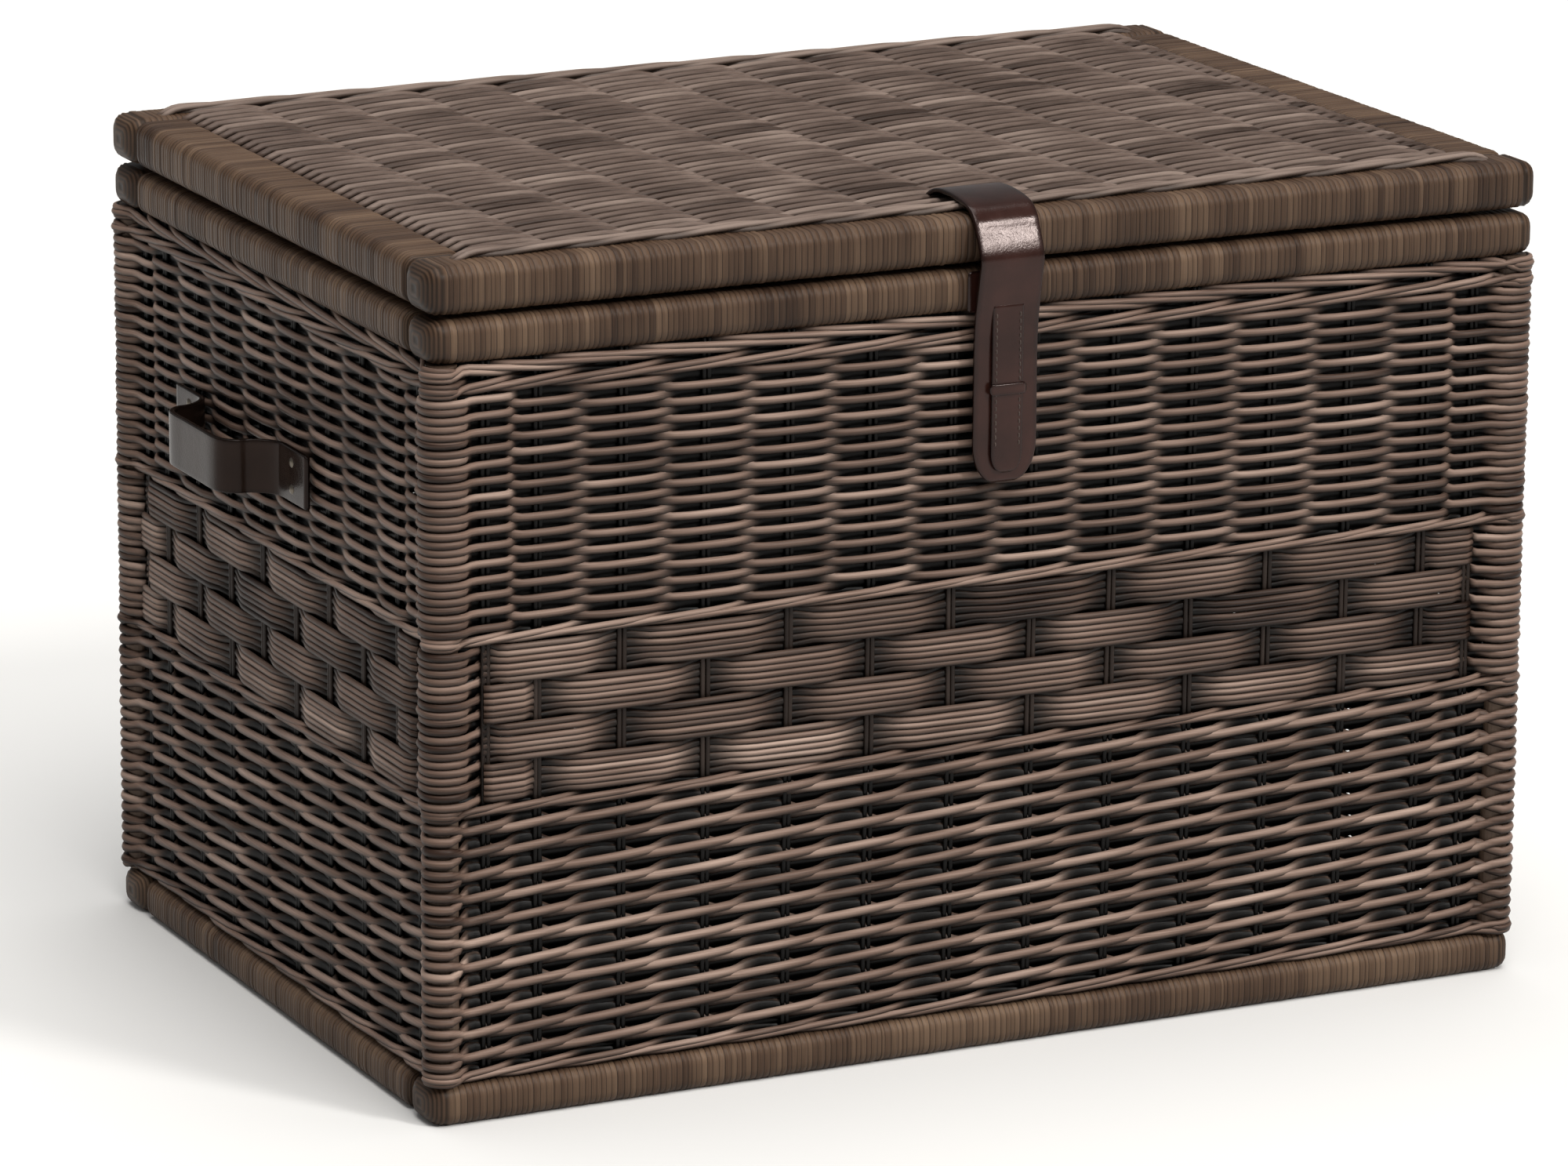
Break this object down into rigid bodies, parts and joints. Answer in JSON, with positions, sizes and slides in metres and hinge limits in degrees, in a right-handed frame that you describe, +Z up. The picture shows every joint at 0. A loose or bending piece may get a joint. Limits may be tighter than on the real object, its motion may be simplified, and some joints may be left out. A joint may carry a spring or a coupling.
{
  "type": "wicker storage trunk",
  "caption": "Rectangular woven storage trunk with a hinged woven lid on a slotted stay, wrapped frame rails, a leather closing strap and a leather carrying handle on each side.",
  "frame": {"origin": "on the floor at the middle of the trunk's footprint, strap and hinges included", "axes": "+X to the trunk's right, +Y to the back where the lid hinges are, +Z up; the strap is on the -Y side"},
  "size_m": [0.778, 0.4996, 0.5094],
  "materials": {
    "woven_reed": "dark walnut stained reed, semi-gloss",
    "wrapped_rail": "wooden rail wrapped in stained flat reed, satin",
    "pole": "stained rattan pole, satin",
    "batten_wood": "stained solid wood, matt",
    "leather": "dark brown smooth leather, semi-gloss",
    "antique_steel": "antique bronze plated steel",
    "magnet_steel": "bare nickel plate"
  },
  "bodies": {
    "trunk": {"base_rail_front": "wrapped_rail", "base_rail_back": "wrapped_rail", "base_rail_left": "wrapped_rail", "base_rail_right": "wrapped_rail", "floor_panel": "woven_reed", "floor_batten_left": "batten_wood", "floor_batten_right": "batten_wood", "corner_post_front_left": "pole", "corner_post_front_right": "pole", "corner_post_back_left": "pole", "corner_post_back_right": "pole", "wall_front": "woven_reed", "wall_back": "woven_reed", "wall_left": "woven_reed", "wall_right": "woven_reed", "rim_rail_front": "wrapped_rail", "rim_rail_back": "wrapped_rail", "rim_rail_left": "wrapped_rail", "rim_rail_right": "wrapped_rail", "hinge_body_leaf_left": "antique_steel", "hinge_body_leaf_right": "antique_steel", "hinge_pin_left": "antique_steel", "hinge_pin_right": "antique_steel", "hinge_body_screw_left_outer": "antique_steel", "hinge_body_screw_left_inner": "antique_steel", "hinge_body_screw_right_outer": "antique_steel", "hinge_body_screw_right_inner": "antique_steel", "stay_body_bracket": "antique_steel", "stay_body_screw_front": "antique_steel", "stay_body_screw_back": "antique_steel", "strap_backing": "leather", "body_magnet": "magnet_steel", "handle_left_foot_front": "leather", "handle_left_foot_back": "leather", "handle_right_foot_front": "leather", "handle_right_foot_back": "leather"},
    "lid": {"lid_rail_front": "wrapped_rail", "lid_rail_back": "wrapped_rail", "lid_rail_left": "wrapped_rail", "lid_rail_right": "wrapped_rail", "lid_panel": "woven_reed", "lid_batten_left": "batten_wood", "lid_batten_right": "batten_wood", "hinge_lid_leaf_left": "antique_steel", "hinge_lid_leaf_right": "antique_steel", "hinge_lid_screw_left_outer": "antique_steel", "hinge_lid_screw_left_inner": "antique_steel", "hinge_lid_screw_right_outer": "antique_steel", "hinge_lid_screw_right_inner": "antique_steel", "stay_lid_bracket": "antique_steel", "stay_lid_screw_front": "antique_steel", "stay_lid_screw_back": "antique_steel", "strap_anchor": "leather"},
    "strap": {"strap_tail": "leather", "strap_tongue": "leather", "strap_magnet": "magnet_steel"},
    "stay": {"stay_arm": "antique_steel"},
    "handle_left_loop": {"handle_left": "leather"},
    "handle_right_loop": {"handle_right": "leather"}
  },
  "joints": [
    {"name": "lid_hinge", "type": "hinge", "parent": "trunk", "child": "lid", "pos_m": [0, 0.2458, 0.4705], "axis": [-1, 0, 0], "range_deg": [0, 95]},
    {"name": "stay_pivot", "type": "hinge", "parent": "lid", "child": "stay", "pos_m": [0.315, 0.13635, 0.4815], "axis": [-1, 0, 0], "range_deg": [-47.5, 0]},
    {"name": "strap_bend", "type": "hinge", "parent": "lid", "child": "strap", "pos_m": [0, -0.2472, 0.491], "axis": [-1, 0, 0], "range_deg": [0, 100]},
    {"name": "handle_left_lift", "type": "hinge", "parent": "trunk", "child": "handle_left_loop", "pos_m": [-0.3582, 0.035, 0.354], "axis": [0, 1, 0], "range_deg": [0, 35]},
    {"name": "handle_right_lift", "type": "hinge", "parent": "trunk", "child": "handle_right_loop", "pos_m": [0.3582, 0.035, 0.354], "axis": [0, -1, 0], "range_deg": [0, 35]}
  ],
  "couplings": [
    {"joint": "stay_pivot", "follows": "lid_hinge", "ratio": -0.5}
  ]
}
